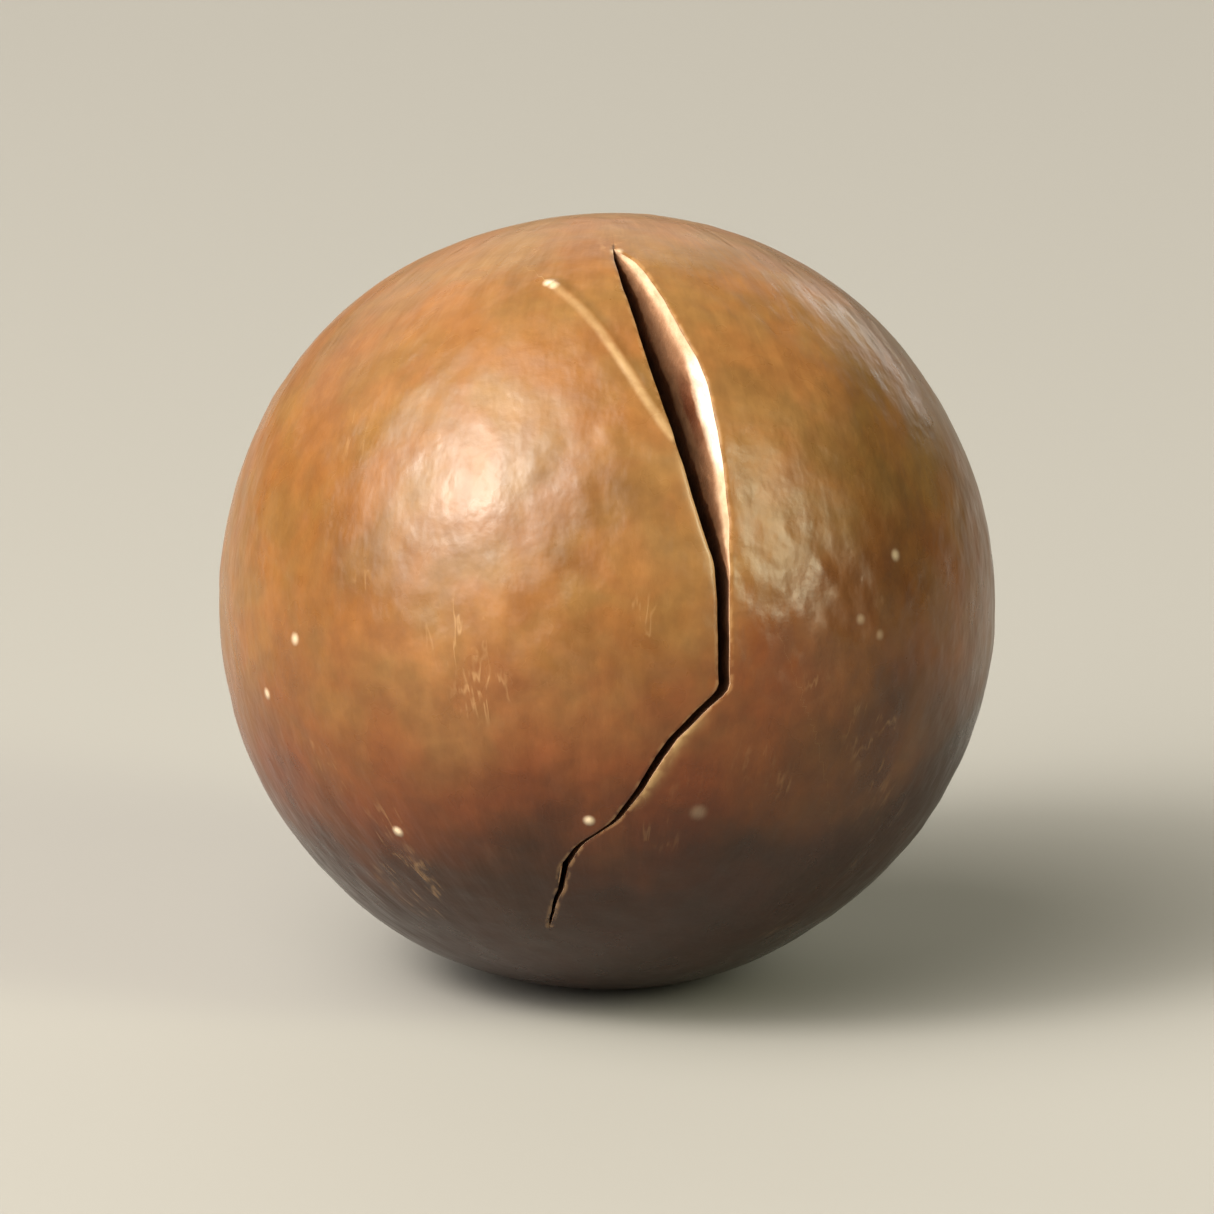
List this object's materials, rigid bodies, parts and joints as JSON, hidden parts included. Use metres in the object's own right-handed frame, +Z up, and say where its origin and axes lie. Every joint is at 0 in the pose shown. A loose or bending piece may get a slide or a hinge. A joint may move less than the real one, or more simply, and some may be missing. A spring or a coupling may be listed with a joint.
{
  "type": "macadamia nut in shell",
  "caption": "Round, hard, glossy brown nut in its shell, with a narrow open crack down the front, a pore on top and a flat scar to rest on.",
  "frame": {"origin": "centre of the nut's bounding box at its base, on the flat scar that it rests on", "axes": "+Z up from the scar towards the pore; -Y is the front, where the crack runs; +X to the right seen from the front"},
  "size_m": [0.025, 0.025, 0.0247],
  "materials": {
    "nut_shell": "polished brown shell, satin gloss, mottled from tan to red-brown"
  },
  "bodies": {
    "root": {"nut": "nut_shell"}
  },
  "joints": []
}
